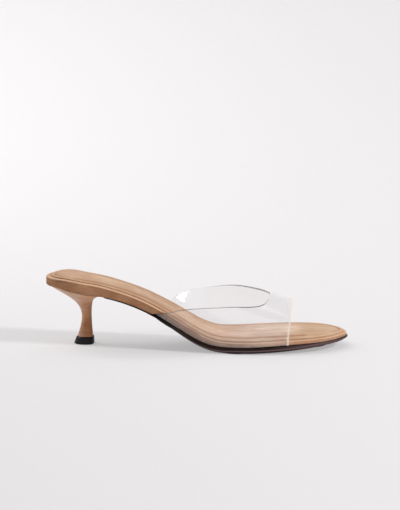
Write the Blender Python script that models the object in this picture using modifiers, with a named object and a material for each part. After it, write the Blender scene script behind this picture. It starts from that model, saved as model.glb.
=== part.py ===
"""Kitten heel mule, right shoe: a covered footbed on a curved sole, a small flared heel, and one clear
band over the forefoot. Metres, +Z up, +X towards the toe, +Y the inner (big toe) side of the foot.
Lengths along the shoe start at the heel back, and the finished pieces are moved to the middle."""

import math
from collections import namedtuple

import bmesh
import bpy

# Driving sizes of the shoe
SHOE_LENGTH = 0.2500
BALL_WIDTH = 0.0775
SEAT_WIDTH = 0.0515
SEAT_RIM = 0.0573
TOE_SPRING = 0.0072
OUTSOLE_THICK = 0.0050
FRONT_WALL = 0.0041
REAR_WALL = 0.0078
COVER_LAP = 0.0017
PAD_THICK = 0.0028
BAND_WALL = 0.0015
THROAT_HEIGHT = 0.0427
FIT = 0.0003

# Where the pieces begin and end, from the heel back
COVER_FOOT = 0.0892
COVER_TIP = 0.1006
CUT = 0.5 * (COVER_FOOT + COVER_TIP)
THROAT = 0.1850
BAND_FRONT = 0.2018
FRONT_BOW = 0.0015

# Edges of the layers, in from the widest outline. BEVEL_SHARE: most of a thin sole that its bevel takes.
# ROUND_MIDDLE: how far down and in a rounding's middle lies, a share of it.
SOLE_BEVEL = 0.0016
BEVEL_SHARE = 0.45
SOLE_RECESS = 0.0008
BAND_INSET = 0.0003
TOE_INSET = 0.0010
RIM_ROUND = 0.0010
FOOT_ROUND = 0.0005
ROUND_MIDDLE = 0.3
SOCK_INSET = 0.0018

# Shares of the ball width: where the toe's insets begin to turn inwards, and the length over which the
# footbed's wall comes out again in front of the band
TOE_TURN = 0.40
WALL_RETURN = 0.25

# Top piece of the heel. TIP_LIP: how far it stands out round the heel. On the floor it reaches further out,
# to the back by TIP_BACK, to each side by TIP_SIDE and to the front by TIP_FRONT.
TIP_HEIGHT = 0.0058
TIP_LIP = 0.0008
TIP_BACK = 0.0022
TIP_SIDE = 0.0010
TIP_FRONT = 0.0002
TIP_BEVEL = 0.0005

# Colour, roughness and metallic of each piece
FINISH = {
    "outsole": ((0.030, 0.018, 0.016, 1.0), 0.25, 0.0),
    "footbed": ((0.45, 0.28, 0.18, 1.0), 0.90, 0.0),
    "sock": ((0.56, 0.38, 0.25, 1.0), 0.92, 0.0),
    "band": ((0.90, 0.90, 0.91, 1.0), 0.08, 0.0),
    "heel": ((0.42, 0.25, 0.15, 1.0), 0.85, 0.0),
    "heel_tip": ((0.015, 0.015, 0.017, 1.0), 0.45, 0.0),
}

# Outline from above. seat and ball: shares of those widths in the full width. swing: middle of the
# width towards the inner side, a share of the ball width.
Plan = namedtuple("Plan", "along seat ball swing")
PLAN = (
    Plan(0.000, 0.000, 0.000, 0.000),
    Plan(0.016, 0.532, 0.000, 0.000),
    Plan(0.048, 0.840, 0.000, 0.000),
    Plan(0.096, 0.985, 0.000, 0.000),
    Plan(0.180, 0.900, 0.045, -0.012),
    Plan(0.300, 0.600, 0.245, -0.038),
    Plan(0.412, 0.300, 0.505, -0.054),
    Plan(0.512, 0.100, 0.722, -0.048),
    Plan(0.600, 0.000, 0.905, -0.030),
    Plan(0.688, 0.000, 1.000, -0.010),
    Plan(0.780, 0.000, 0.970, 0.005),
    Plan(0.860, 0.000, 0.870, 0.018),
    Plan(0.912, 0.000, 0.745, 0.026),
    Plan(0.952, 0.000, 0.558, 0.032),
    Plan(0.976, 0.000, 0.382, 0.036),
    Plan(0.992, 0.000, 0.212, 0.039),
    Plan(1.000, 0.000, 0.000, 0.040),
)

# The sole from the side. climb: underside, a share of its height under the seat. spring: underside at
# the toe, a share of the toe spring. sole: outsole with the cover's lap, a share of its thickness. rear
# and front: covered wall over the outsole, shares of those walls. pad: a share of the sock's thickness.
# crease: how far in the sock's sunk line lies, a share of its widest border.
Side = namedtuple("Side", "along climb spring sole rear front pad crease")
SIDE = (
    Side(0.000, 1.000, 0.00, 0.34, 0.65, 0.00, 0.50, 0.52),
    Side(0.052, 0.994, 0.00, 0.34, 0.73, 0.00, 0.50, 0.54),
    Side(0.120, 0.917, 0.00, 0.34, 0.95, 0.00, 0.50, 0.60),
    Side(0.180, 0.867, 0.00, 0.40, 0.93, 0.00, 0.45, 0.66),
    Side(0.200, 0.848, 0.00, 0.52, 0.83, 0.00, 0.47, 0.68),
    Side(0.248, 0.792, 0.00, 0.58, 0.72, 0.00, 0.56, 0.74),
    Side(0.304, 0.699, 0.00, 0.62, 0.71, 0.00, 0.62, 0.82),
    Side(0.352, 0.594, 0.00, 0.66, 0.71, 0.00, 0.66, 0.88),
    Side(0.395, 0.463, 0.00, 0.78, 0.76, 0.00, 0.66, 0.92),
    Side(0.444, 0.306, 0.00, 0.88, 0.80, 0.00, 0.69, 0.96),
    Side(0.478, 0.194, 0.00, 0.92, 0.70, 0.24, 0.71, 1.00),
    Side(0.511, 0.103, 0.00, 0.94, 0.42, 0.64, 0.76, 1.00),
    Side(0.544, 0.040, 0.00, 0.96, 0.16, 0.94, 0.84, 1.00),
    Side(0.572, 0.010, 0.00, 0.98, 0.00, 1.08, 0.90, 1.00),
    Side(0.596, 0.000, 0.00, 0.98, 0.00, 1.04, 0.92, 1.00),
    Side(0.668, 0.000, 0.00, 1.00, 0.00, 1.00, 0.92, 1.00),
    Side(0.724, 0.000, 0.07, 1.06, 0.00, 0.98, 0.90, 1.00),
    Side(0.792, 0.000, 0.22, 1.04, 0.00, 0.94, 0.88, 0.98),
    Side(0.840, 0.000, 0.37, 0.94, 0.00, 0.90, 0.86, 0.94),
    Side(0.924, 0.000, 0.69, 0.64, 0.00, 0.83, 0.78, 0.80),
    Side(1.000, 0.000, 1.00, 0.34, 0.00, 0.71, 0.60, 0.66),
)

# The sock from its edge to its middle. inset: how far in from its edge. rise: a share of its thickness
# there. The fifth row is the sunk line inside its border.
Pad = namedtuple("Pad", "inset rise")
PAD = (
    Pad(0.0000, 0.24),
    Pad(0.0007, 0.48),
    Pad(0.0030, 0.76),
    Pad(0.0056, 0.84),
    Pad(0.0066, 0.66),
    Pad(0.0078, 0.86),
    Pad(0.0108, 0.96),
)

# Collar of the band. along: from the cover's tip to the throat. inner and outer: height of the collar
# on the two sides of the foot, shares of the arch's height there. crown: the arch's height over the
# covered wall, a share of its height at the throat.
Collar = namedtuple("Collar", "along inner outer crown")
COLLAR = (
    Collar(0.000, 0.000, 0.000, 1.600),
    Collar(0.050, 0.175, 0.075, 1.600),
    Collar(0.110, 0.268, 0.162, 1.600),
    Collar(0.190, 0.385, 0.268, 1.595),
    Collar(0.390, 0.632, 0.493, 1.560),
    Collar(0.560, 0.790, 0.618, 1.445),
    Collar(0.730, 0.888, 0.706, 1.270),
    Collar(0.860, 0.948, 0.770, 1.135),
    Collar(0.940, 0.980, 0.836, 1.055),
    Collar(0.980, 0.993, 0.915, 1.018),
    Collar(1.000, 1.000, 1.000, 1.000),
)
CROWN_AT_FRONT = 0.780
CROWN_SWING = 0.0050
ARCH_SIDE = 0.85
ARCH_TOP = 0.75

# Heel, from the seat down to the top piece. back and front: ends of each section from the heel back,
# shares of the seat width. back_drop and front_drop: how far down they lie, 0 at the footbed and 1 at
# the top piece. wide: a share of the seat width. square: how straight the front is.
Turn = namedtuple("Turn", "back front back_drop front_drop wide square")
HEEL = (
    Turn(0.035, 0.955, 0.000, 0.000, 0.965, 8.0),
    Turn(0.117, 0.854, 0.050, 0.035, 0.900, 7.0),
    Turn(0.231, 0.812, 0.126, 0.107, 0.740, 5.5),
    Turn(0.358, 0.774, 0.200, 0.165, 0.560, 4.5),
    Turn(0.455, 0.750, 0.267, 0.225, 0.410, 3.8),
    Turn(0.536, 0.736, 0.368, 0.310, 0.295, 3.2),
    Turn(0.570, 0.729, 0.495, 0.450, 0.225, 2.8),
    Turn(0.574, 0.730, 0.604, 0.588, 0.205, 2.6),
    Turn(0.560, 0.735, 0.735, 0.720, 0.212, 2.5),
    Turn(0.534, 0.742, 0.869, 0.860, 0.235, 2.8),
    Turn(0.498, 0.752, 1.000, 1.000, 0.265, 3.6),
)

# The heel's breast: the outsole begins a fit in front of the heel's top
BREAST = HEEL[0].front * SEAT_WIDTH + FIT

# How finely the forms are divided
STATIONS = 48
ACROSS = 4
COLLAR_STEPS = 20
BAND_STEPS = 12
WALL_STEPS = 3
TURN_STEPS = 16
SHARP_ANGLE = math.radians(40.0)
MERGE = 1e-6


def smooth(points, x):
    """Height at x of a curve through the points that never swings past them."""
    if x <= points[0][0]:
        return points[0][1]
    if x >= points[-1][0]:
        return points[-1][1]
    steps = [(b[0] - a[0], (b[1] - a[1]) / (b[0] - a[0])) for a, b in zip(points, points[1:])]
    tilts = [steps[0][1]]
    for (run, rise), (next_run, next_rise) in zip(steps, steps[1:]):
        if rise * next_rise <= 0.0:
            tilts.append(0.0)
        else:
            near, far = 2.0 * next_run + run, next_run + 2.0 * run
            tilts.append((near + far) / (near / rise + far / next_rise))
    tilts.append(steps[-1][1])
    i = max(k for k in range(len(steps)) if points[k][0] <= x)
    run = steps[i][0]
    t = (x - points[i][0]) / run
    return (
        points[i][1] * (1.0 + 2.0 * t) * (1.0 - t) ** 2
        + tilts[i] * run * t * (1.0 - t) ** 2
        + points[i + 1][1] * t * t * (3.0 - 2.0 * t)
        + tilts[i + 1] * run * t * t * (t - 1.0)
    )


def column(rows, name, share):
    return smooth([(row[0], getattr(row, name)) for row in rows], share)


def turned(share):
    """A share of the length as an angle, in which both ends of the outline come out round."""
    return math.acos(1.0 - 2.0 * min(max(share, 0.0), 1.0))


def plan(name, x):
    points = [(turned(row.along), getattr(row, name)) for row in PLAN]
    return smooth(points, turned(x / SHOE_LENGTH))


def side(name, x):
    return column(SIDE, name, x / SHOE_LENGTH)


def middle(x):
    return plan("swing", x) * BALL_WIDTH


def half_width(x):
    return 0.5 * (plan("seat", x) * SEAT_WIDTH + plan("ball", x) * BALL_WIDTH)


def underside(x):
    """Height of the outsole's underside, and of the footbed's where the heel is."""
    seat = SEAT_RIM - SIDE[0].rear * REAR_WALL - COVER_LAP
    return side("climb", x) * seat + side("spring", x) * TOE_SPRING


def bed(x):
    """Height at which the footbed lies on the outsole."""
    return underside(x) + side("sole", x) * OUTSOLE_THICK


def rim(x):
    """Height of the covered wall's top edge."""
    return bed(x) + side("rear", x) * REAR_WALL + side("front", x) * FRONT_WALL


def inward(x, y, inset):
    """The point moved in from the outline, towards the middle line of the sole."""
    back, front = 0.5 * SEAT_WIDTH, SHOE_LENGTH - TOE_TURN * BALL_WIDTH
    spine_x = min(max(x, back), front)
    spine_y = middle(spine_x)
    far = math.hypot(spine_x - x, spine_y - y)
    share = min(inset / far, 1.0) if far > 0.0 else 0.0
    return x + (spine_x - x) * share, y + (spine_y - y) * share


def spaced(start, stop, extra=()):
    """Stations from start to stop, closer together towards the ends of the shoe."""
    angles = (math.pi * i / STATIONS for i in range(STATIONS + 1))
    shares = (0.5 - 0.5 * math.cos(angle) for angle in angles)
    inner = [share * SHOE_LENGTH for share in shares]
    clear = SHOE_LENGTH / STATIONS / 3.0
    fixed = [start, stop, *extra]
    kept = [x for x in inner if start < x < stop and all(abs(x - f) > clear for f in fixed)]
    ends = [x for x in inner if start < x < clear or SHOE_LENGTH - clear < x < stop]
    return sorted({*fixed, *kept, *ends})


def add_piece(name, points, faces):
    """One closed solid from its points and faces, with its own material, moved to the shoe's place."""
    mesh = bpy.data.meshes.new(name)
    mesh.from_pydata(points, [], faces)
    bm = bmesh.new()
    bm.from_mesh(mesh)
    bmesh.ops.remove_doubles(bm, verts=bm.verts, dist=MERGE)
    bmesh.ops.recalc_face_normals(bm, faces=bm.faces)
    bm.to_mesh(mesh)
    bm.free()
    colour, roughness, metallic = FINISH[name]
    material = bpy.data.materials.new(name)
    material.use_nodes = True
    shader = material.node_tree.nodes["Principled BSDF"]
    shader.inputs["Base Color"].default_value = colour
    shader.inputs["Roughness"].default_value = roughness
    shader.inputs["Metallic"].default_value = metallic
    mesh.materials.append(material)
    mesh.shade_smooth()
    mesh.set_sharp_from_angle(angle=SHARP_ANGLE)
    piece = bpy.data.objects.new(name, mesh)
    edges = [(middle(x) - half_width(x), middle(x) + half_width(x)) for x in spaced(0.0, SHOE_LENGTH)]
    middle_y = 0.5 * (min(edge[0] for edge in edges) + max(edge[1] for edge in edges))
    piece.location = (-0.5 * SHOE_LENGTH, -middle_y, 0.0)
    bpy.data.collections["kitten_heel_mule"].objects.link(piece)
    return piece


def layer(name, stations, section):
    """A layer of the sole: section gives the points round it at one station, the same number each time."""
    rings = [section(x) for x in stations]
    count = len(rings[0])
    points = [point for ring in rings for point in ring]
    faces = []
    for i in range(len(rings) - 1):
        for j in range(count):
            k = (j + 1) % count
            faces.append((i * count + j, i * count + k, (i + 1) * count + k, (i + 1) * count + j))
    for ring in (0, len(rings) - 1):
        ys = {round(point[1], 6) for point in rings[ring]}
        if len(ys) > 1:
            faces.append(tuple(range(ring * count, (ring + 1) * count)))
    return add_piece(name, points, faces)


def round_section(x_at, levels, dome):
    """Points round one section: up the outer side, over the top, down the inner side and back below.
    x_at gives a level's place along the shoe, and dome the extra height at a share of the way over."""
    outer, inner = [], []
    for lift, inset, height in levels:
        x = x_at(lift)
        for points, sign in ((outer, -1.0), (inner, 1.0)):
            px, py = inward(x, middle(x) + sign * half_width(x), inset)
            points.append((px, py, height(px)))

    def between(start, stop, rise):
        shares = [k / ACROSS for k in range(1, ACROSS)]
        return [tuple(a + (b - a) * s for a, b in zip(start, stop)) + (rise(s),) for s in shares]

    top = [(x, y, z + extra) for x, y, z, extra in between(outer[-1], inner[-1], dome)]
    below = [(x, y, z) for x, y, z, _ in between(inner[0], outer[0], lambda s: 0.0)]
    return outer + top + inner[::-1] + below


def cut_lean(x):
    """How far the stations lean forward over the wall's height, to follow the cover's slanted cut."""
    slant = COVER_TIP - COVER_FOOT
    return slant * max(0.0, 1.0 - abs(x - CUT) / (2.0 * slant))


def cut_over_sole():
    """Where the cover's slanted cut passes the top of the outsole."""
    lapped = COVER_LAP / (rim(COVER_FOOT) - bed(COVER_FOOT) + COVER_LAP)
    return COVER_FOOT + (COVER_TIP - COVER_FOOT) * lapped


def make_outsole():
    """The dark sole: thin under the rear cover, full from the cover's end on, with a bevelled lower edge."""
    step = COVER_FOOT + 2.0 * FIT
    full = cut_over_sole() + 2.0 * FIT

    def section(x):
        lap = smooth([(step, COVER_LAP), (full, 0.0)], x)
        recess = smooth([(BREAST, SOLE_RECESS), (COVER_TIP, 0.0)], x)
        thick = bed(x) - FIT - lap - underside(x)
        bevel = min(SOLE_BEVEL, BEVEL_SHARE * thick)
        levels = (
            (0.0, recess + bevel, underside),
            (0.0, recess, lambda px: underside(px) + bevel),
            (0.0, recess, lambda px: bed(px) - FIT - lap),
        )
        return round_section(lambda lift: x, levels, lambda s: 0.0)

    feet = [x - 0.5 * cut_lean(x) for x in spaced(0.0, SHOE_LENGTH, (BREAST, CUT, CUT + FIT))]
    clear = [x for x in feet if BREAST + FIT < x < COVER_FOOT - FIT or x > full + FIT]
    return layer("outsole", sorted([BREAST, step, full, *clear]), section)


def wall_inset(x):
    """How far in the footbed's wall stands: it makes room for the band, and comes out again at the toe."""
    full = BAND_INSET + BAND_WALL + FIT
    return smooth([(BAND_FRONT, full), (BAND_FRONT + WALL_RETURN * BALL_WIDTH, TOE_INSET)], x)


def make_footbed():
    """The covered board. Behind a slanted cut the cover is proud and laps the outsole's edge."""
    tall = rim(CUT) - bed(CUT) + COVER_LAP
    turn = ROUND_MIDDLE * RIM_ROUND

    def section(x):
        rear = x <= CUT
        inset = 0.0 if rear else wall_inset(x)
        lap = COVER_LAP if rear else 0.0
        levels = (
            (0.0, inset + FOOT_ROUND, lambda px: bed(px) - lap),
            (FOOT_ROUND / tall, inset, lambda px: bed(px) - lap + FOOT_ROUND),
            (1.0 - RIM_ROUND / tall, inset, lambda px: rim(px) - RIM_ROUND),
            (1.0 - turn / tall, inset + turn, lambda px: rim(px) - turn),
            (1.0, inset + RIM_ROUND, rim),
        )
        return round_section(lambda lift: x + cut_lean(x) * (lift - 0.5), levels, lambda s: 0.0)

    return layer("footbed", spaced(0.0, SHOE_LENGTH, (BREAST, CUT, CUT + FIT)), section)


def make_sock():
    """The padded insole, with its border, its sunk line and its crowned middle."""

    def edge(x):
        return max(wall_inset(x), TOE_INSET) + SOCK_INSET

    def raised(share):
        return lambda px: rim(px) + FIT + share * PAD_THICK * side("pad", px)

    def section(x):
        levels = [(0.0, edge(x), raised(0.0))]
        border = side("crease", x)
        levels += [(0.0, edge(x) + row.inset * border, raised(row.rise)) for row in PAD]
        crown = (1.0 - PAD[-1].rise) * PAD_THICK

        def dome(s):
            return crown * side("pad", x) * (1.0 - (2.0 * s - 1.0) ** 2)

        return round_section(lambda lift: x, levels, dome)

    return layer("sock", spaced(0.0, SHOE_LENGTH), section)


def arch_height(x):
    """Height of the band's crown over the covered wall."""
    full = THROAT_HEIGHT - rim(THROAT) - BAND_WALL
    share = (x - COVER_TIP) / (THROAT - COVER_TIP)
    if share <= 1.0:
        return full * column(COLLAR, "crown", share)
    return full * smooth([(THROAT, 1.0), (BAND_FRONT + FRONT_BOW, CROWN_AT_FRONT)], x)


def arch(x, angle, sign):
    """Point of the band's inner face at an angle from the covered wall, 0, to the crown, a right angle."""
    lift = math.sin(angle) ** ARCH_TOP
    out = max(math.cos(angle), 0.0) ** ARCH_SIDE
    reach = half_width(x) - BAND_INSET - BAND_WALL
    y = middle(x) + CROWN_SWING * lift * lift + sign * reach * out
    return x, y, rim(x) + lift * arch_height(x)


def make_band():
    """The clear vamp: down the covered wall to the outsole on both sides, over the foot between them."""
    start = COVER_TIP + 3.0 * FIT
    foot = cut_over_sole() + 3.0 * FIT
    lines = []
    for sign, name in ((-1.0, "outer"), (1.0, "inner")):
        half = []
        for k in range(WALL_STEPS):
            lift = k / WALL_STEPS
            x0 = foot + (start - foot) * lift
            line = []
            for u in range(BAND_STEPS + 1):
                x = x0 + (BAND_FRONT - x0) * u / BAND_STEPS
                y = middle(x) + sign * (half_width(x) - BAND_INSET - BAND_WALL)
                line.append((x, y, bed(x) + FIT + (rim(x) - bed(x) - FIT) * lift))
            half.append(line)
        for k in range(COLLAR_STEPS + 1):
            share = math.sin(0.5 * math.pi * k / COLLAR_STEPS)
            angle = math.asin(min(column(COLLAR, name, share), 1.0) ** (1.0 / ARCH_TOP))
            x0 = start + (THROAT - start) * share
            step = (BAND_FRONT + FRONT_BOW * math.sin(2.0 * angle) - x0) / BAND_STEPS
            half.append([arch(x0 + step * u, angle, sign) for u in range(BAND_STEPS + 1)])
        lines += half if sign < 0.0 else half[-2::-1]
    count = BAND_STEPS + 1
    points = [point for line in lines for point in line]
    faces = []
    for i in range(len(lines) - 1):
        for j in range(BAND_STEPS):
            faces.append((i * count + j, i * count + j + 1, (i + 1) * count + j + 1, (i + 1) * count + j))
    band = add_piece("band", points, faces)
    wall = band.modifiers.new("wall", "SOLIDIFY")
    wall.thickness = BAND_WALL
    wall.offset = 1.0
    wall.use_even_offset = True
    return band


def turn_ring(back, front, wide, square, height):
    """Points round one heel section, from the back along the outer side to the front and home again."""
    centre, reach = 0.5 * (back + front), 0.5 * (front - back)
    halves = []
    for sign in (-1.0, 1.0):
        half = []
        for k in range(TURN_STEPS + 1):
            share = 2.0 * k / TURN_STEPS - 1.0
            angle = 0.5 * math.pi * (1.0 + (share if share <= 0.0 else share * share))
            power = 1.0 if share <= 0.0 else 2.0 / square
            x = centre - math.copysign(abs(math.cos(angle)) ** power, math.cos(angle)) * reach
            y = sign * 0.5 * wide * max(math.sin(angle), 0.0) ** power
            half.append((x, y, height(x)))
        halves.append(half)
    return halves[0] + halves[1][-2:0:-1]


def stacked(name, rings):
    """A solid through rings of one length, each with its ends on the shoe's middle plane."""
    count = len(rings[0])
    points = [point for ring in rings for point in ring]
    faces = []
    for i in range(len(rings) - 1):
        for j in range(count):
            k = (j + 1) % count
            faces.append((i * count + j, i * count + k, (i + 1) * count + k, (i + 1) * count + j))
    half = count // 2
    for ring in (0, len(rings) - 1):
        base = ring * count
        for j in range(half):
            k = (count - j) % count
            faces.append((base + j, base + j + 1, base + count - j - 1, base + k))
    return add_piece(name, points, faces)


def make_heel():
    """The covered heel: it takes up the seat's outline and sweeps in to a slim neck."""
    foot = TIP_HEIGHT + FIT

    def ring(row):
        def height(x):
            share = (x / SEAT_WIDTH - row.back) / (row.front - row.back)
            drop = row.back_drop + (row.front_drop - row.back_drop) * share
            return foot + (1.0 - drop) * (bed(x) - COVER_LAP - FIT - foot)

        back, front, wide = (share * SEAT_WIDTH for share in (row.back, row.front, row.wide))
        return turn_ring(back, front, wide, row.square, height)

    return stacked("heel", [ring(row) for row in HEEL])


def make_heel_tip():
    """The top piece: proud all round the heel, flared to the back, with a small bevel at its foot."""
    last = HEEL[-1]
    rings = []
    for z, less in ((TIP_HEIGHT, 0.0), (0.5 * TIP_HEIGHT, 0.0), (TIP_BEVEL, 0.0), (0.0, TIP_BEVEL)):
        out = TIP_LIP - less
        flare = 1.0 - z / TIP_HEIGHT
        back = last.back * SEAT_WIDTH - out - flare * TIP_BACK
        front = last.front * SEAT_WIDTH + out + flare * TIP_FRONT
        wide = last.wide * SEAT_WIDTH + 2.0 * (out + flare * TIP_SIDE)
        rings.append(turn_ring(back, front, wide, last.square, lambda x, level=z: level))
    return stacked("heel_tip", rings)


def main():
    for thing in list(bpy.data.objects):
        bpy.data.objects.remove(thing, do_unlink=True)
    collection = bpy.data.collections.new("kitten_heel_mule")
    bpy.context.scene.collection.children.link(collection)
    make_outsole()
    make_footbed()
    make_sock()
    make_band()
    make_heel()
    make_heel_tip()


main()
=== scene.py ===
# %% [markdown]
# # A kitten heel mule with a clear band
#
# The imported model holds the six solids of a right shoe: a dark sole, a footbed covered in suede, a padded
# sock on it, a clear band over the forefoot, a small covered heel and its rubber top piece. This lesson
# dresses them. Every solid is copied, smoothed and given its own finish, and then the shoe is lit and
# seen from its outer side, with the toe to the right.

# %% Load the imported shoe
import math

import bpy
import numpy as np
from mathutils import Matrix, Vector
from mathutils.bvhtree import BVHTree
from mathutils.kdtree import KDTree


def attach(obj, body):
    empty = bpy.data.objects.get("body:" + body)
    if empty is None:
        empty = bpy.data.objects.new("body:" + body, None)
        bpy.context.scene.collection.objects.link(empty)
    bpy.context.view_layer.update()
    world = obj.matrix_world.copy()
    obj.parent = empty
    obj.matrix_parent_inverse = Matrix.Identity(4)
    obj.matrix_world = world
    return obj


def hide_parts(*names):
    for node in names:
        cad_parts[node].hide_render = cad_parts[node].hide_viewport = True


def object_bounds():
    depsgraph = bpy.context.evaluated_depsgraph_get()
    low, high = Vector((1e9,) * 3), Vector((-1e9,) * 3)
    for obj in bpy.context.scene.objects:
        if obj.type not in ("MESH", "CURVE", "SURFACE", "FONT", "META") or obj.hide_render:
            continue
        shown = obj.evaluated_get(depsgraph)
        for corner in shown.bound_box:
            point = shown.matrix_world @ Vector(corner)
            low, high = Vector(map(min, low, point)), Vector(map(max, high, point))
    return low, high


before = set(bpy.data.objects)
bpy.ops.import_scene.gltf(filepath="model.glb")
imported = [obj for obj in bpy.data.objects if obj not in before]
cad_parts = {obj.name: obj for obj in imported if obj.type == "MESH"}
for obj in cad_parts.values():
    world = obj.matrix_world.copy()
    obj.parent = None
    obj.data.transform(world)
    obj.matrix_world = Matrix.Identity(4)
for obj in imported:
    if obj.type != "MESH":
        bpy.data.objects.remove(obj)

cad_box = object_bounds()
shoe_low, shoe_high = (Vector(corner) for corner in cad_box)
print("shoe, mm:", [round(1000.0 * size, 1) for size in shoe_high - shoe_low])

# %% [markdown]
# ## Helpers for the skins
#
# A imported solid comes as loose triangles, which would show every facet in a gloss. It could be drawn again
# from nothing, but its outline is already right, so a copy is merged into one skin, its triangles are
# paired into quads, and a subdivision surface rounds it. Edges that stay crisp on the shoe, such as a cut
# edge, are creased first.

# %% Copy, crease, round
MERGE = 0.00001
FLAT_ENOUGH = math.radians(50.0)
SQUARE_ENOUGH = math.radians(70.0)
SMOOTH_UP_TO = math.radians(60.0)


def only(piece):
    """Select one piece alone and make it the active one."""
    bpy.ops.object.select_all(action="DESELECT")
    piece.select_set(True)
    bpy.context.view_layer.objects.active = piece


def copy_of(node, name):
    """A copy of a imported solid, its loose triangles joined into one skin of quads."""
    piece = bpy.data.objects.new(name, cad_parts[node].data.copy())
    bpy.context.scene.collection.objects.link(piece)
    piece.data.materials.clear()
    only(piece)
    bpy.ops.mesh.customdata_custom_splitnormals_clear()
    bpy.ops.object.mode_set(mode="EDIT")
    bpy.ops.mesh.select_all(action="SELECT")
    bpy.ops.mesh.remove_doubles(threshold=MERGE)
    bpy.ops.mesh.tris_convert_to_quads(face_threshold=FLAT_ENOUGH, shape_threshold=SQUARE_ENOUGH)
    bpy.ops.object.mode_set(mode="OBJECT")
    print(name, "skin:", len(piece.data.vertices), "points,", len(piece.data.polygons), "faces")
    return piece


def crease(piece, angle, amount):
    """Hold the edges that turn by more than the angle, so that rounding leaves them crisp."""
    only(piece)
    bpy.ops.object.mode_set(mode="EDIT")
    bpy.ops.mesh.select_all(action="DESELECT")
    bpy.ops.mesh.select_mode(type="EDGE")
    bpy.ops.mesh.edges_select_sharp(sharpness=math.radians(angle))
    bpy.ops.transform.edge_crease(value=amount)
    bpy.ops.mesh.select_mode(type="VERT")
    bpy.ops.object.mode_set(mode="OBJECT")


def rounded(piece, levels):
    """Round the skin with a subdivision surface, applied, and shade it smooth."""
    only(piece)
    surface = piece.modifiers.new("round", "SUBSURF")
    surface.levels = levels
    surface.render_levels = levels
    bpy.ops.object.modifier_apply(modifier=surface.name)
    bpy.ops.object.shade_smooth_by_angle(angle=SMOOTH_UP_TO)
    print(piece.name, "rounded:", len(piece.data.polygons), "faces")


# %% [markdown]
# ## Marks on the skin
#
# A line is pressed into the sock with a hot wheel. Its trough is darker, partly from the pressing and partly
# as painted shade, and the border outside it and the sock's sides get painted shade too. The ridges are
# painted paler, partly wear and partly a painted highlight where the nap catches the light. Textures painted
# by hand could hold this. Here the imported rows of points are used: where a point lies lower than its
# neighbours the row is pushed further in and marked as pressed, and where it stands out it is marked as
# worn and highlit. Points beside the pressed row are marked less the further they lie from it. Rounding
# then spreads each mark over the faces beside its row.

# %% Find and mark rows
# BANK_MARKS: rows of (distance from the pressed row in metres, mark of pressing and painted shade)
BANK_MARKS = ((0.0, 1.0), (0.0012, 0.9), (0.0042, 0.3), (0.0080, 0.0))
# The border outside the line and the sock's sides are marked for painted shade, where less light falls on
# them.
BORDER_SHADE = 0.38
SIDE_SHADE = 0.8
MOST_ROWS = 12


def points_of(mesh):
    """The places of all points, a row for each."""
    flat = np.empty(len(mesh.vertices) * 3)
    mesh.vertices.foreach_get("co", flat)
    return flat.reshape(-1, 3)


def normals_of(mesh):
    """The directions in which the points face, a row for each."""
    flat = np.empty(len(mesh.vertices) * 3)
    mesh.vertex_normals.foreach_get("vector", flat)
    return flat.reshape(-1, 3)


def ends_of(mesh):
    """The two points at the ends of each edge."""
    return np.array([edge.vertices[:] for edge in mesh.edges])


def hollowness(mesh):
    """Sum of the slopes by which a point's neighbours rise over it: much in a fold, little in a bowl."""
    points, normals, ends = points_of(mesh), normals_of(mesh), ends_of(mesh)
    hollow = np.zeros(len(points))
    for a, b in ((0, 1), (1, 0)):
        step = points[ends[:, b]] - points[ends[:, a]]
        rise = (step * normals[ends[:, a]]).sum(axis=1)
        np.add.at(hollow, ends[:, a], rise / np.linalg.norm(step, axis=1))
    return hollow


def store(mesh, name, values):
    """Keep a value for each point, which a finish can read by its name."""
    attribute = mesh.attributes.new(name, "FLOAT", "POINT")
    attribute.data.foreach_set("value", values.astype(np.float32))


def reached(mesh, start, stop_at):
    """The points within MOST_ROWS edges of the started ones, without passing one to stop at."""
    ends = ends_of(mesh)
    ends = np.vstack((ends, ends[:, ::-1]))
    found = start.copy()
    for _ in range(MOST_ROWS):
        from_found = found[ends[:, 0]] & ~stop_at[ends[:, 0]]
        found[ends[from_found, 1]] = True
    return found


def distance_to(mesh, chosen):
    """How far each point lies from the nearest chosen one, in metres."""
    points = KDTree(int(chosen.sum()))
    for index in np.flatnonzero(chosen):
        points.insert(mesh.vertices[int(index)].co, int(index))
    points.balance()
    return np.array([points.find(vertex.co)[2] for vertex in mesh.vertices])


def mark_rows(piece, facing_up, pressed_and_shade, wear_and_highlight, push=0.0):
    """Mark rows that are folded in or stand out by more than these slopes, and push the first ones in."""
    # The folds, their border and the sides are marked for painted shade, the ridges for wear and a painted
    # highlight.
    mesh = piece.data
    hollow = hollowness(mesh)
    facing = normals_of(mesh)[:, 2]
    upward = facing > facing_up
    deep = upward & (hollow > pressed_and_shade)
    proud = upward & (hollow < -wear_and_highlight)
    marks = np.zeros(len(hollow))
    if deep.any():
        marks = np.interp(distance_to(mesh, deep), *zip(*BANK_MARKS))
        marks[reached(mesh, ~upward, deep)] = BORDER_SHADE
        marks[np.abs(facing) < facing_up] = SIDE_SHADE
        marks[deep] = 1.0
    store(mesh, "pressed_and_shade", marks)
    store(mesh, "wear_and_highlight", proud.astype(float))
    for vertex, is_deep in zip(mesh.vertices, deep):
        vertex.select = bool(is_deep)
    only(piece)
    bpy.ops.object.mode_set(mode="EDIT")
    bpy.ops.mesh.select_mode(type="VERT")
    bpy.ops.transform.translate(value=(0.0, 0.0, -push))
    bpy.ops.object.mode_set(mode="OBJECT")
    print(piece.name, "pressed points:", int(deep.sum()), "worn points:", int(proud.sum()))


# %% [markdown]
# ## Helpers for the finishes
#
# Each finish is one shader with a few textures in front of it. They read Object coordinates, so that a
# grain has its real size in metres and stays where it is when the shoe is seen from another side.

# %% Finish helpers
FINE_GRAIN = 0.00005


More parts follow.
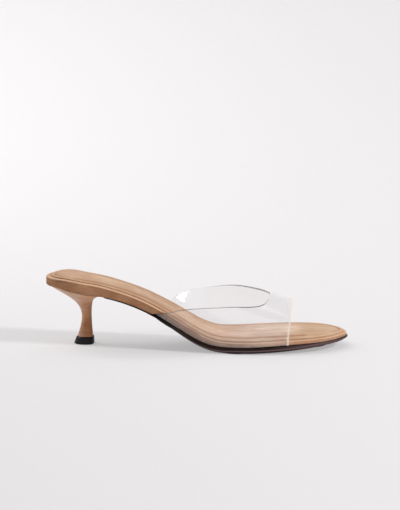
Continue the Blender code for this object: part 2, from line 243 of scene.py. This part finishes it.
class Finish:
    """A material with one principled shader, and short ways to put textures before it."""

    def __init__(self, name, **values):
        self.material = bpy.data.materials.new(name)
        self.material.use_nodes = True
        self.tree = self.material.node_tree
        self.shader = self.tree.nodes["Principled BSDF"]
        self.out = self.tree.nodes["Material Output"]
        for socket, value in values.items():
            self.shader.inputs[socket.replace("_", " ")].default_value = value
        self.place = self.tree.nodes.new("ShaderNodeTexCoord").outputs["Object"]

    def link(self, source, target):
        """Lead one node's output to another's input."""
        self.tree.links.new(source, target)

    def put(self, source, socket):
        """Lead a texture to one of the shader's own inputs."""
        self.link(source, self.shader.inputs[socket])

    def noise(self, size, detail=3.0, stretch=(1.0, 1.0, 1.0), rough=0.55):
        """Cloudy grain. size is that of one cloud in metres, stretch makes it longer along X, Y or Z."""
        mapping = self.tree.nodes.new("ShaderNodeMapping")
        mapping.inputs["Scale"].default_value = [1.0 / (size * along) for along in stretch]
        self.link(self.place, mapping.inputs["Vector"])
        texture = self.tree.nodes.new("ShaderNodeTexNoise")
        texture.inputs["Scale"].default_value = 1.0
        texture.inputs["Detail"].default_value = detail
        texture.inputs["Roughness"].default_value = rough
        self.link(mapping.outputs["Vector"], texture.inputs["Vector"])
        return texture.outputs["Fac"]

    def attribute(self, name):
        """A value that the skin stores for each point."""
        node = self.tree.nodes.new("ShaderNodeAttribute")
        node.attribute_name = name
        return node.outputs["Fac"]

    def along(self, axis, start, end):
        """0 at one place on an axis of the shoe, 1 at the other, in metres."""
        split = self.tree.nodes.new("ShaderNodeSeparateXYZ")
        self.link(self.place, split.inputs["Vector"])
        share = self.tree.nodes.new("ShaderNodeMapRange")
        share.inputs["From Min"].default_value = start
        share.inputs["From Max"].default_value = end
        self.link(split.outputs[axis], share.inputs["Value"])
        return share.outputs["Result"]

    def ramp(self, source, *stops, smooth=False):
        """Turn a value into a colour or a grey by stops of (place, colour)."""
        node = self.tree.nodes.new("ShaderNodeValToRGB")
        bar = node.color_ramp
        bar.interpolation = "EASE" if smooth else "LINEAR"
        while len(bar.elements) < len(stops):
            bar.elements.new(0.5)
        for element, (place, colour) in zip(bar.elements, stops):
            element.position = place
            element.color = colour if isinstance(colour, tuple) else (colour, colour, colour, 1.0)
        self.link(source, node.inputs["Fac"])
        return node.outputs["Color"]

    def mix(self, kind, amount, below, above):
        """Blend two colours. amount is a number or another texture."""
        node = self.tree.nodes.new("ShaderNodeMix")
        node.data_type = "RGBA"
        node.blend_type = kind
        for value, socket in ((amount, "Factor_Float"), (below, "A_Color"), (above, "B_Color")):
            target = next(entry for entry in node.inputs if entry.identifier == socket)
            if isinstance(value, (float, tuple)):
                target.default_value = value
            else:
                self.link(value, target)
        return next(entry for entry in node.outputs if entry.identifier == "Result_Color")

    def math(self, kind, first, second):
        """Reckon with two values, each a number or another texture."""
        node = self.tree.nodes.new("ShaderNodeMath")
        node.operation = kind
        for value, target in zip((first, second), node.inputs):
            if isinstance(value, float):
                target.default_value = value
            else:
                self.link(value, target)
        return node.outputs["Value"]

    def bump(self, height, distance, strength=1.0, before=None):
        """Raise the surface by a texture, distance in metres."""
        node = self.tree.nodes.new("ShaderNodeBump")
        node.inputs["Strength"].default_value = strength
        node.inputs["Distance"].default_value = distance
        self.link(height, node.inputs["Height"])
        if before is not None:
            self.link(before, node.inputs["Normal"])
        return node.outputs["Normal"]


def rgb(red, green, blue):
    """A colour as it shows on a screen, 0 to 255, made linear for the shader."""
    shares = (value / 255.0 for value in (red, green, blue))
    linear = (s / 12.92 if s <= 0.04045 else ((s + 0.055) / 1.055) ** 2.4 for s in shares)
    return (*linear, 1.0)


# %% [markdown]
# ## Suede
#
# Suede is leather with its nap raised. Seen close it is a dense short pile, brushed in streaks along the
# shoe, darker where it is pressed and paler on its ridges. The pile is far finer than a pixel, so it is made
# of three things: a fine bump, cloudy streaks along the foot, and a little sheen, the pale edge that fibres
# give to a surface that turns away. Ridges are painted paler, with some wear and a painted highlight, and
# hollows darker, with some pressing and painted shade. The suede is also lighter in some places than in
# others, mostly as painted light and shade where the lamps fall more or less on it. Patches painted by hand
# would do, but the change follows the length of the shoe, so each suede has a short table of tones along it.

# %% Suede finish
NAP = 0.0006
BRUSHED = 0.0028
CLOUD = 0.012
STREAK = (0.76, 0.68, 0.60, 1.0)
STREAK_DEPTH = 0.0004
NAP_DEPTH = 0.0003
DRIFT_SHARE = 0.8


def suede(name, axis, tones, wear_and_highlight, pressed_and_shade, sheen, drift=None):
    """A brushed suede with darker streaks, paler on its ridges with wear and a painted highlight, and darker
    in its hollows with pressing and painted shade.

    tones: rows of (place, tone) along the axis.
    drift: (axis, from, to, tone), a tone that takes over between these places.
    """
    finish = Finish(name, Roughness=0.92, Sheen_Weight=sheen, Sheen_Roughness=0.4)
    finish.shader.inputs["Sheen Tint"].default_value = rgb(250, 236, 222)
    finish.shader.inputs["Specular IOR Level"].default_value = 0.15
    brushed = finish.noise(BRUSHED, detail=4.0, stretch=(3.2, 1.0, 1.0), rough=0.6)
    clouds = finish.noise(CLOUD, detail=3.0, stretch=(2.0, 1.0, 1.0))
    nap = finish.noise(NAP, detail=4.0, rough=0.7)
    streaks = finish.mix("MIX", 0.5, brushed, clouds)
    first, last = tones[0][0], tones[-1][0]
    stops = [((place - first) / (last - first), tone) for place, tone in tones]
    colour = finish.ramp(finish.along(axis, first, last), *stops)
    if drift:
        side, start, end, tone = drift
        drifted = finish.along(side, start, end)
        share = finish.ramp(drifted, (0.0, 0.0), (1.0, DRIFT_SHARE), smooth=True)
        colour = finish.mix("MIX", share, colour, tone)
    streaked = finish.ramp(streaks, (0.36, STREAK), (0.62, 1.0), smooth=True)
    colour = finish.mix("MULTIPLY", 1.0, colour, streaked)
    speckle = finish.ramp(nap, (0.25, 0.86), (0.75, 1.0))
    colour = finish.mix("MULTIPLY", 0.8, colour, speckle)
    # Ridges: wear and a painted highlight. Pressed line, border and sides: pressing and painted shade.
    ridge = finish.ramp(finish.attribute("wear_and_highlight"), (0.30, 0.0), (0.85, 0.52), smooth=True)
    trough = finish.ramp(finish.attribute("pressed_and_shade"), (0.0, 0.0), (1.0, 1.0))
    colour = finish.mix("MIX", trough, finish.mix("MIX", ridge, colour, wear_and_highlight), pressed_and_shade)
    finish.put(colour, "Base Color")
    soft = finish.bump(streaks, STREAK_DEPTH, 0.3)
    finish.put(finish.bump(nap, NAP_DEPTH, 0.5, before=soft), "Normal")
    return finish


# The tones hold the suede's own colour with painted light and shade along the shoe. The sock is darker on
# its slope down from the waist, which turns from the lamps, and paler and greyer under the clear band, where
# the band's haze is painted in. The wall is darker than the sock, though it is the same suede, partly as
# painted shade on a side that turns from the light, and lighter towards the toe as a painted pool of light
# from the softbox. The heel is darker low down, as painted shade.
SOCK_TONES = (
    (-0.125, rgb(212, 177, 151)),
    (-0.090, rgb(214, 180, 154)),
    (-0.072, rgb(210, 178, 148)),
    (-0.047, rgb(199, 166, 141)),
    (-0.033, rgb(189, 157, 131)),
    (0.015, rgb(218, 181, 152)),
    (0.036, rgb(226, 195, 175)),
    (0.065, rgb(219, 193, 174)),
    (0.094, rgb(221, 192, 163)),
    (0.125, rgb(226, 198, 170)),
)
WALL_TONES = (
    (-0.125, rgb(174, 128, 96)),
    (-0.080, rgb(184, 140, 108)),
    (-0.050, rgb(175, 129, 96)),
    (0.003, rgb(174, 130, 100)),
    (0.036, rgb(195, 155, 128)),
    (0.069, rgb(222, 180, 150)),
    (0.085, rgb(204, 158, 128)),
    (0.100, rgb(193, 152, 124)),
    (0.125, rgb(186, 150, 124)),
)
HEEL_TONES = (
    (0.010, rgb(194, 137, 100)),
    (0.020, rgb(196, 140, 102)),
    (0.032, rgb(206, 153, 118)),
    (0.045, rgb(220, 172, 140)),
)
sock_suede = suede("sock_suede", "X", SOCK_TONES, rgb(224, 190, 160), rgb(162, 120, 88), sheen=0.24)
wall_suede = suede("wall_suede", "X", WALL_TONES, rgb(232, 196, 165), rgb(118, 84, 60), sheen=0.10)
# On the heel a paler tone takes over at its back: a painted highlight, where the light from the left falls.
heel_suede = suede(
    "heel_suede", "Z", HEEL_TONES, rgb(205, 165, 135), rgb(110, 76, 54), sheen=0.3,
    drift=("X", -0.0915, -0.0975, rgb(216, 184, 162)),
)
print("suede finishes:", sock_suede.material.name, wall_suede.material.name, heel_suede.material.name)

# %% [markdown]
# ## The padded sock
#
# A sheet of suede over thin foam covers the whole footbed. A line is pressed all round it, a finger's
# width in from the edge, so that the border and the middle swell beside it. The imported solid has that
# line as one sunk row of points. Two rounds of subdivision turn it into a soft crease.

# %% Make the sock
SEAM = 0.00022
LINE_DEPTH = 0.0006


def reach(piece, towards, turned, by):
    """Move the faces that look one way a little, so that no dark slit is left beside a glued neighbour."""
    only(piece)
    bpy.ops.object.mode_set(mode="EDIT")
    bpy.ops.mesh.select_all(action="DESELECT")
    bpy.ops.mesh.select_mode(type="FACE")
    bpy.ops.object.mode_set(mode="OBJECT")
    for face in piece.data.polygons:
        face.select = face.normal.dot(Vector(towards)) > turned
    bpy.ops.object.mode_set(mode="EDIT")
    bpy.ops.transform.translate(value=Vector(towards) * by)
    bpy.ops.mesh.select_mode(type="VERT")
    bpy.ops.object.mode_set(mode="OBJECT")


sock = copy_of("sock", "padded_sock")
reach(sock, towards=(0.0, 0.0, -1.0), turned=0.75, by=SEAM)
# The line gets pressing and painted shade, its border and the sides painted shade, the ridges wear and a
# painted highlight.
mark_rows(sock, facing_up=0.5, pressed_and_shade=0.25, wear_and_highlight=0.40, push=LINE_DEPTH)
crease(sock, angle=70.0, amount=0.5)
rounded(sock, 2)
sock.data.materials.append(sock_suede.material)
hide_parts("sock")
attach(sock, "root")

# %% [markdown]
# ## The covered footbed
#
# The board's edge is wrapped in the same suede. Behind the band the cover is proud and ends in a slanted
# cut over the dark sole. In front of it the wall is set back, to make room for the band. Its rim is paler
# all round, with some wear and a painted highlight where the rolled edge catches the light, so every point
# that faces up is marked as worn and highlit, and the sock hides the rest of them.

# %% Make the footbed
NO_POINT = 9.0
EVERY_POINT = -9.0
footbed = copy_of("footbed", "covered_footbed")
mark_rows(footbed, facing_up=0.6, pressed_and_shade=NO_POINT, wear_and_highlight=EVERY_POINT)
crease(footbed, angle=35.0, amount=0.55)
rounded(footbed, 2)
footbed.data.materials.append(wall_suede.material)
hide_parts("footbed")
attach(footbed, "root")

# %% [markdown]
# ## The heel
#
# The heel is a moulded block wrapped in suede. It leaves the seat at its full width and sweeps into a
# neck, then flares towards its rubber top piece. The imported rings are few, so subdivision gives the sweep.

# %% Make the heel
heel = copy_of("heel", "covered_heel")
reach(heel, towards=(0.0, 0.0, 1.0), turned=0.85, by=SEAM)
crease(heel, angle=50.0, amount=0.7)
rounded(heel, 2)
heel.data.materials.append(heel_suede.material)
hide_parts("heel")
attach(heel, "root")

# %% [markdown]
# ## The top piece
#
# A small plate of hard black rubber is pinned under the heel and is what it walks on. It could be a plain
# black disc, but floors scuff it, so its gloss comes and goes in streaks that run up its side.

# %% Make the top piece
rubber = Finish("tip_rubber", Roughness=0.5)
rubber.shader.inputs["Base Color"].default_value = rgb(20, 20, 24)
rubber.shader.inputs["Specular IOR Level"].default_value = 0.25
grain = rubber.noise(0.0005, detail=3.0)
scuffs = rubber.noise(0.003, detail=4.0, stretch=(1.0, 1.0, 0.3))
rubber.put(rubber.ramp(scuffs, (0.35, 0.45), (0.75, 0.65)), "Roughness")
rubber.put(rubber.bump(grain, FINE_GRAIN, 0.5), "Normal")
tip = copy_of("heel_tip", "rubber_top_piece")
crease(tip, angle=30.0, amount=0.8)
rounded(tip, 2)
tip.data.materials.append(rubber.material)
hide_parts("heel_tip")
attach(tip, "root")

# %% [markdown]
# ## The sole
#
# The sole is cut from dark leather, and its edge is waxed and rubbed. A paler line runs low on the edge
# behind the ball and half way down it from the ball on: a painted highlight, the rounded edge mirroring the
# bright floor in front. It could be cut in as a groove, but it is only a change of tone. So the edge gets
# more rows of points, and each point stores its height over the underside, from which the finish draws the
# line.

# %% Make the sole
# LINE_PLACES: rows of (place along the shoe, height of the painted highlight line's middle as a share of the
# edge)
SOLE_EDGE = 0.0050
LINE_PLACES = ((-0.06, 0.14), (0.0, 0.22), (0.035, 0.52), (0.125, 0.55))
FROM_THE_ENDS = 0.001
BELOW_THE_SOLE = -0.02
UPRIGHT = 0.9
SHORTEST_UPRIGHT = 0.0008
ROWS_UP_THE_EDGE = 5


def height_over_underside(piece):
    """How high each point lies over the sole's underside straight below it, in metres."""
    tree = BVHTree.FromObject(piece, bpy.context.evaluated_depsgraph_get())
    low, high = shoe_low.x + FROM_THE_ENDS, shoe_high.x - FROM_THE_ENDS
    heights = []
    for x, _, z in points_of(piece.data):
        start = Vector((min(max(x, low), high), 0.0, BELOW_THE_SOLE))
        hit = tree.ray_cast(start, Vector((0.0, 0.0, 1.0)))[0]
        heights.append(z - hit.z if hit else SOLE_EDGE)
    return np.array(heights)


def from_line(piece):
    """The height as a share of the edge's, shifted so that the pale line's middle is at one half."""
    along, middles = zip(*LINE_PLACES)
    middle = np.interp(points_of(piece.data)[:, 0], along, middles)
    return height_over_underside(piece) / SOLE_EDGE - middle + 0.5


sole = copy_of("outsole", "dark_sole")
bpy.context.view_layer.update()
only(sole)
bpy.ops.object.mode_set(mode="EDIT")
bpy.ops.mesh.select_all(action="DESELECT")
bpy.ops.object.mode_set(mode="OBJECT")
upright = 0
for edge in sole.data.edges:
    a, b = (sole.data.vertices[i].co for i in edge.vertices)
    length = (a - b).length
    if abs(a.z - b.z) > UPRIGHT * length and length > SHORTEST_UPRIGHT:
        edge.select = True
        upright += 1
bpy.ops.object.mode_set(mode="EDIT")
bpy.ops.mesh.select_mode(type="EDGE")
bpy.ops.mesh.subdivide(number_cuts=ROWS_UP_THE_EDGE)
bpy.ops.mesh.select_mode(type="VERT")
bpy.ops.object.mode_set(mode="OBJECT")
crease(sole, angle=35.0, amount=0.6)
rounded(sole, 1)
store(sole.data, "edge_height", from_line(sole))
print("upright edges cut:", upright)

# %% [markdown]
# The wax is thin, so the leather's fibres show through it as fine streaks along the edge. A plain dark
# brown would do from afar. Here the edge is paler towards the toe and nearly black at the waist, and the
# painted highlight line fades in from the waist forward.

# %% Wax the sole
# The bump under the painted highlight line, in metres.
HIGHLIGHT_LINE_BUMP = 0.0002
waxed = Finish("dark_sole", Roughness=0.45)
waxed.shader.inputs["Specular IOR Level"].default_value = 0.08
height = waxed.attribute("edge_height")
line = waxed.ramp(height, (0.34, 0.0), (0.44, 1.0), (0.56, 1.0), (0.66, 0.0), smooth=True)
fibres = waxed.noise(0.0012, detail=4.0, stretch=(5.0, 1.0, 1.0))
leather = waxed.ramp(fibres, (0.30, rgb(34, 20, 18)), (0.75, rgb(50, 33, 29)))
leather = waxed.mix("MIX", waxed.along("X", 0.06, 0.115), leather, rgb(92, 72, 70))
leather = waxed.mix("MIX", waxed.along("X", -0.005, -0.03), leather, rgb(14, 8, 7))
# The pale line is a painted highlight, the rounded edge mirroring the bright floor.
painted_edge_highlight = waxed.math("MULTIPLY", line, waxed.along("X", -0.035, -0.005))
waxed.put(waxed.mix("MIX", painted_edge_highlight, leather, rgb(100, 82, 84)), "Base Color")
grainy = waxed.bump(fibres, FINE_GRAIN, 0.5)
waxed.put(waxed.bump(line, HIGHLIGHT_LINE_BUMP, 0.6, before=grainy), "Normal")
waxed.put(waxed.ramp(fibres, (0.3, 0.38), (0.8, 0.55)), "Roughness")
sole.data.materials.append(waxed.material)
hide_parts("outsole")
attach(sole, "root")
print("sole finish:", waxed.material.name)

# %% [markdown]
# ## The clear band
#
# The band is one sheet of clear vinyl, a millimetre and a half thick, bent over the forefoot and cemented
# down the footbed's wall. It could be a bare surface, but the sheet's thickness shows at its cut ends. So
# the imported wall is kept, and only its cut edges are rounded a little.

# %% Make the band
CUT_ROUND = 0.0004
CUT_ANGLE = math.radians(50.0)
band = copy_of("band", "clear_band")
only(band)
sides = band.modifiers.new("cut_edges", "BEVEL")
sides.width = CUT_ROUND
sides.segments = 2
sides.limit_method = "ANGLE"
sides.angle_limit = CUT_ANGLE
bpy.ops.object.modifier_apply(modifier=sides.name)
rounded(band, 1)

# %% [markdown]
# ### Clear faces and cut faces
#
# The sheet's faces hardly show: each mirrors a few parts in a hundred of the room, more where it turns
# away, and has a trace of milk in it. A glass shader with real bending was tried, and made the far collar
# far too dark. The sheet is so thin that bending hardly moves what lies behind it, so its faces are left
# out of bending and only mirror. Bending shows only beside two of the ends: the light caught in the sheet
# comes out at the front end as a pale strip, and the back of the near collar as a dark one. The cut ends
# use the same finish with far more of a solid colour.

# %% Sheet finishes
# STRIP and STRIP_FADE: where the pale strip along the front end starts to fade and is gone, in
# centimetres from that end. COLLAR_STRIP and COLLAR_FADE: the same for the dark strip along the collar.
# COLLAR_BACK: the places along the shoe between which the dark strip grows from nothing.
HEAD_ON = 0.036
STRIP = 0.12
STRIP_FADE = 0.18
STRIP_SOLID = 0.32
COLLAR_STRIP = 0.04
COLLAR_FADE = 0.08
COLLAR_SOLID = 0.75
COLLAR_BACK = (0.035, 0.012)
FAR_CUT_CLEAR = (0.0, 0.035)
# The greys below are painted: on the cut faces they stand in for the light lost on the long way through the
# sheet, and along the near collar for the dark strip that bending makes there.
DARK_CUT = rgb(60, 57, 57)
FAR_DARK_CUT = rgb(72, 70, 71)
WAVE = 0.02
WAVE_DEPTH = 0.0004
# The cream below is a painted glow, for the light caught in the sheet at its front end.
CREAM = rgb(238, 228, 220)


def sheet_finish(name, tint, roughness, solid, clear_behind=None):
    """A clear sheet's face: see-through, but for a mirror and a share of solid colour.

    The mirror is HEAD_ON where the face is seen straight on, and grows to 1 with the turn's fifth power.
    clear_behind: two places along the shoe between which the solid share grows from nothing.
    """
    finish = Finish(name, Roughness=roughness, Metallic=1.0)
    finish.shader.inputs["Base Color"].default_value = (1.0, 1.0, 1.0, 1.0)
    finish.put(finish.bump(finish.noise(WAVE, detail=1.0), WAVE_DEPTH, 0.2), "Normal")
    nodes = finish.tree.nodes
    turned = nodes.new("ShaderNodeLayerWeight")
    turned.inputs["Blend"].default_value = 0.5
    grown = finish.math("POWER", turned.outputs["Facing"], 5.0)
    mirror = finish.math("ADD", finish.math("MULTIPLY", grown, 1.0 - HEAD_ON), HEAD_ON)
    see_through = nodes.new("ShaderNodeBsdfTransparent")
    see_through.inputs["Color"].default_value = (0.993, 0.993, 0.995, 1.0)
    strip = finish.ramp(
        finish.attribute("from_collar"),
        (0.0, COLLAR_SOLID), (COLLAR_STRIP, COLLAR_SOLID), (COLLAR_FADE, 0.0),
    )
    strip = finish.math("MULTIPLY", strip, finish.along("X", *COLLAR_BACK))
    # The dark strip along the near collar is painted shade.
    milk = nodes.new("ShaderNodeBsdfDiffuse")
    finish.link(finish.mix("MIX", strip, tint, DARK_CUT), milk.inputs["Color"])
    # The pale strip at the front end is a painted glow that shines by itself.
    caught_light = nodes.new("ShaderNodeEmission")
    caught_light.inputs["Color"].default_value = CREAM
    from_front = finish.attribute("from_front")
    at_the_end = finish.ramp(from_front, (0.0, 1.0), (STRIP, 1.0), (STRIP_FADE, 0.0))
    body = nodes.new("ShaderNodeMixShader")
    finish.link(at_the_end, body.inputs["Fac"])
    finish.link(milk.outputs["BSDF"], body.inputs[1])
    finish.link(caught_light.outputs["Emission"], body.inputs[2])
    gloss = nodes.new("ShaderNodeMixShader")
    finish.link(mirror, gloss.inputs["Fac"])
    finish.link(see_through.outputs["BSDF"], gloss.inputs[1])
    finish.link(finish.shader.outputs["BSDF"], gloss.inputs[2])
    whole = nodes.new("ShaderNodeMixShader")
    share = finish.ramp(from_front, (0.0, STRIP_SOLID), (STRIP, STRIP_SOLID), (STRIP_FADE, solid))
    share = finish.math("MAXIMUM", share, strip)
    if clear_behind:
        share = finish.math("MULTIPLY", share, finish.along("X", *clear_behind))
    finish.link(share, whole.inputs["Fac"])
    finish.link(gloss.outputs["Shader"], whole.inputs[1])
    finish.link(body.outputs["Shader"], whole.inputs[2])
    finish.link(whole.outputs["Shader"], finish.out.inputs["Surface"])
    return finish


vinyl = sheet_finish("clear_vinyl", rgb(240, 240, 246), roughness=0.03, solid=0.03)
cut_vinyl = sheet_finish("cut_vinyl", DARK_CUT, roughness=0.15, solid=0.88)
far_cut = sheet_finish("far_cut", FAR_DARK_CUT, roughness=0.15, solid=0.60, clear_behind=FAR_CUT_CLEAR)
for finish in (vinyl, cut_vinyl, far_cut):
    band.data.materials.append(finish.material)
    print("band finish:", finish.material.name)

# %% [markdown]
# ### Where the cut faces are
#
# The cut edge is a face of its own, a millimetre and a half wide. It looks grey, because what is seen in it
# has run a long way through the sheet. It could be picked by hand. Here a ray goes into the sheet from the
# middle of each face: from the cut edge it runs far, and from anywhere else only through the wall. On the
# far side the collar's cut gets clear towards the back. The front end is found in the same way, and each
# point of the band stores how far it lies from that end and from the near collar.

# %% Find the cut edges
SHEET = 0.0015
DEEP = 1.5 * SHEET
JUST_INSIDE = 0.00005
FRONT_END = 0.06
LOW_END = 0.018
CENTIMETRES = 100.0
NEAR_CUT, FAR_CUT = 1, 2


def cut_faces(piece):
    """Faces from which a ray into the sheet goes further than through the wall."""
    tree = BVHTree.FromObject(piece, bpy.context.evaluated_depsgraph_get())
    found = []
    for face in piece.data.polygons:
        inside = face.center - face.normal * JUST_INSIDE
        far = tree.ray_cast(inside, -face.normal)[3]
        if far is None or far > DEEP:
            found.append(face.index)
    return found


bpy.context.view_layer.update()
at_front = np.zeros(len(band.data.vertices), bool)
at_collar = np.zeros(len(band.data.vertices), bool)
for index in cut_faces(band):
    face = band.data.polygons[index]
    if face.normal.x > 0.5 and face.center.x > FRONT_END:
        at_front[list(face.vertices)] = True
    elif face.center.y > 0.0:
        face.material_index = FAR_CUT
    else:
        face.material_index = NEAR_CUT
        at_collar[[i for i in face.vertices if band.data.vertices[i].co.z > LOW_END]] = True
store(band.data, "from_front", CENTIMETRES * distance_to(band.data, at_front))
store(band.data, "from_collar", CENTIMETRES * distance_to(band.data, at_collar))
print("cut faces:", sum(face.material_index > 0 for face in band.data.polygons))
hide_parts("band")
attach(band, "root")

# %% [markdown]
# ## The set
#
# The shoe stands on a pale sheet that curves up behind it. The sheet could be two planes, but a corner
# would show as a line, so its back part follows a wide arc. It stays low, so that the shoe can be seen from
# behind too. The photograph's shadows are very weak, as on a light table, so the sheet is milky and some
# light comes through it.

# %% Floor and backdrop
SET_WIDTH = 7.0
FLOOR_FRONT = 2.6
SWEEP_START = 0.20
SWEEP_END = 1.3
SWEEP_RADIUS = 2.6
STRIPS = 60

bpy.ops.object.select_all(action="DESELECT")
bpy.ops.mesh.primitive_grid_add(x_subdivisions=1, y_subdivisions=STRIPS, size=1.0)
paper = bpy.context.object
paper.name = "paper_sweep"
for vertex in paper.data.vertices:
    along = (vertex.co.y + 0.5) * (SWEEP_END + FLOOR_FRONT) - FLOOR_FRONT
    past = max(0.0, along - SWEEP_START)
    rise = SWEEP_RADIUS - math.sqrt(SWEEP_RADIUS ** 2 - past ** 2)
    vertex.co = (vertex.co.x * SET_WIDTH, along, rise)
only(paper)
bpy.ops.object.shade_smooth()

sheet = Finish("pale_paper", Roughness=0.85)
sheet.shader.inputs["Specular IOR Level"].default_value = 0.3
tooth = sheet.noise(0.004, detail=3.0)
sheet.put(sheet.ramp(tooth, (0.3, rgb(165, 163, 164)), (0.7, rgb(168, 166, 167))), "Base Color")
sheet.shader.inputs["Emission Color"].default_value = (1.0, 0.985, 0.992, 1.0)
sheet.shader.inputs["Emission Strength"].default_value = 0.385
paper.data.materials.append(sheet.material)
print(paper.name, len(paper.data.polygons), "faces,", SET_WIDTH, "m wide")

# %% [markdown]
# ## Light
#
# The photograph has the soft light of a white room, a broad lamp overhead, and a softbox to the right and
# a little in front, whose weak shadow falls to the left behind the heel. A white card in front shows only
# as a haze on the clear sheet, and a small window close by only as a white reflection in its far wall.
# One lamp could light all of it, but each of these has a mark of its own in the picture.

# %% Lamps
def lamp(name, place, aim, size, watts):
    """A square or oblong soft lamp at a place, aimed at a point."""
    data = bpy.data.lights.new(name, "AREA")
    data.shape = "RECTANGLE"
    data.size, data.size_y = size
    data.energy = watts
    thing = bpy.data.objects.new(name, data)
    thing.location = place
    thing.rotation_euler = (Vector(aim) - Vector(place)).to_track_quat("-Z", "Y").to_euler()
    bpy.context.scene.collection.objects.link(thing)
    print(name, "at", tuple(round(value, 2) for value in place))
    return thing


lamp("overhead", (-0.3, 0.6, 2.0), (0.0, 0.0, 0.0), (2.2, 1.6), 9.0)
softbox = lamp("softbox", (1.86, -0.76, 1.40), (0.0, 0.0, 0.02), (0.38, 0.38), 44.0)
softbox.visible_glossy = False
lamp("backdrop lamp", (-0.70, 0.55, 0.80), (-0.30, 1.15, 0.18), (0.6, 0.5), 7.0)
card = lamp("card", (0.0, -1.60, 1.60), (0.0, 0.0, 0.02), (3.0, 2.0), 15.0)
card.visible_camera = False
card.visible_diffuse = False
window = lamp("window", (-0.0015, -0.0735, 0.0148), (-0.0185, 0.0225, 0.0348), (0.020, 0.008), 0.002)
window.data.spread = math.radians(30.0)
window.visible_camera = False
window.visible_diffuse = False

# %% [markdown]
# ## The room
#
# The room itself glows too, more from the left than from the right, and most from the white wall behind.
# Lamps all round could stand for it. A world whose strength changes with the direction is smoother, and it
# is what the clear band mirrors.

# %% Room
MIDDLE_GLOW = 0.36
GLOW_TO_LEFT = 0.25
GLOW_BEHIND = 0.42
GLOW_TO_BACK = 0.04

room = bpy.data.worlds.new("white_room")
bpy.context.scene.world = room
room.use_nodes = True
room_nodes, room_links = room.node_tree.nodes, room.node_tree.links


def room_math(kind, first, second):
    """Reckon with two strengths of the room's glow, each a number or another node's."""
    node = room_nodes.new("ShaderNodeMath")
    node.operation = kind
    for value, socket in zip((first, second), node.inputs):
        if isinstance(value, float):
            socket.default_value = value
        else:
            room_links.new(value, socket)
    return node


direction = room_nodes.new("ShaderNodeTexCoord").outputs["Generated"]
slope = room_nodes.new("ShaderNodeVectorMath")
slope.operation = "DOT_PRODUCT"
slope.inputs[1].default_value = (-GLOW_TO_LEFT, GLOW_TO_BACK, 0.0)
room_links.new(direction, slope.inputs[0])
parts = room_nodes.new("ShaderNodeSeparateXYZ")
room_links.new(direction, parts.inputs["Vector"])
wall_glow = room_math("MULTIPLY", parts.outputs["Y"], GLOW_BEHIND)
wall_glow.use_clamp = True
uneven = room_math("ADD", slope.outputs["Value"], wall_glow.outputs["Value"])
glow = room_math("ADD", uneven.outputs["Value"], MIDDLE_GLOW)
room_links.new(glow.outputs["Value"], room_nodes["Background"].inputs["Strength"])
room_nodes["Background"].inputs["Color"].default_value = (1.0, 0.995, 1.0, 1.0)
bpy.context.scene.view_settings.view_transform = "Standard"
print("glow of the room:", MIDDLE_GLOW, "and up to", GLOW_BEHIND, "more behind the shoe")

# %% [markdown]
# ## Camera
#
# The photograph was taken with a long lens from a little above, turned slightly towards the toe. The
# shoe's scale in it is known from its length, and one point of the floor line fixes where it stands.

# %% Camera
ELEVATION = math.radians(10.5)
TURN = math.radians(3.0)
DISTANCE = 2.2
PIXELS_PER_METRE = 1206.0
IMAGE_SIZE = (400.0, 510.0)
BALL_ON_FLOOR = Vector((0.04, 0.0, 0.0))
BALL_PIXEL = (245.0, 344.7)
SENSOR = 36.0

view = bpy.data.cameras.new("camera")
view.sensor_fit = "HORIZONTAL"
view.sensor_width = SENSOR
view.lens = SENSOR * DISTANCE * PIXELS_PER_METRE / IMAGE_SIZE[0]
view.clip_end = 50.0
camera = bpy.data.objects.new("camera", view)
bpy.context.scene.collection.objects.link(camera)
ahead = Vector((
    -math.sin(TURN) * math.cos(ELEVATION),
    math.cos(TURN) * math.cos(ELEVATION),
    -math.sin(ELEVATION),
))
right = Vector((math.cos(TURN), math.sin(TURN), 0.0))
up = right.cross(ahead)
off_x = (BALL_PIXEL[0] - 0.5 * IMAGE_SIZE[0]) / PIXELS_PER_METRE
off_y = (BALL_PIXEL[1] - 0.5 * IMAGE_SIZE[1]) / PIXELS_PER_METRE
target = BALL_ON_FLOOR - right * off_x + up * off_y
camera.location = target - ahead * DISTANCE
camera.rotation_euler = ahead.to_track_quat("-Z", "Y").to_euler()
bpy.context.scene.camera = camera
print("camera at", tuple(round(value, 3) for value in camera.location))

# %% [markdown]
# ## The end
#
# The view layer is brought up to date once more.

# %% Finish
bpy.context.view_layer.update()
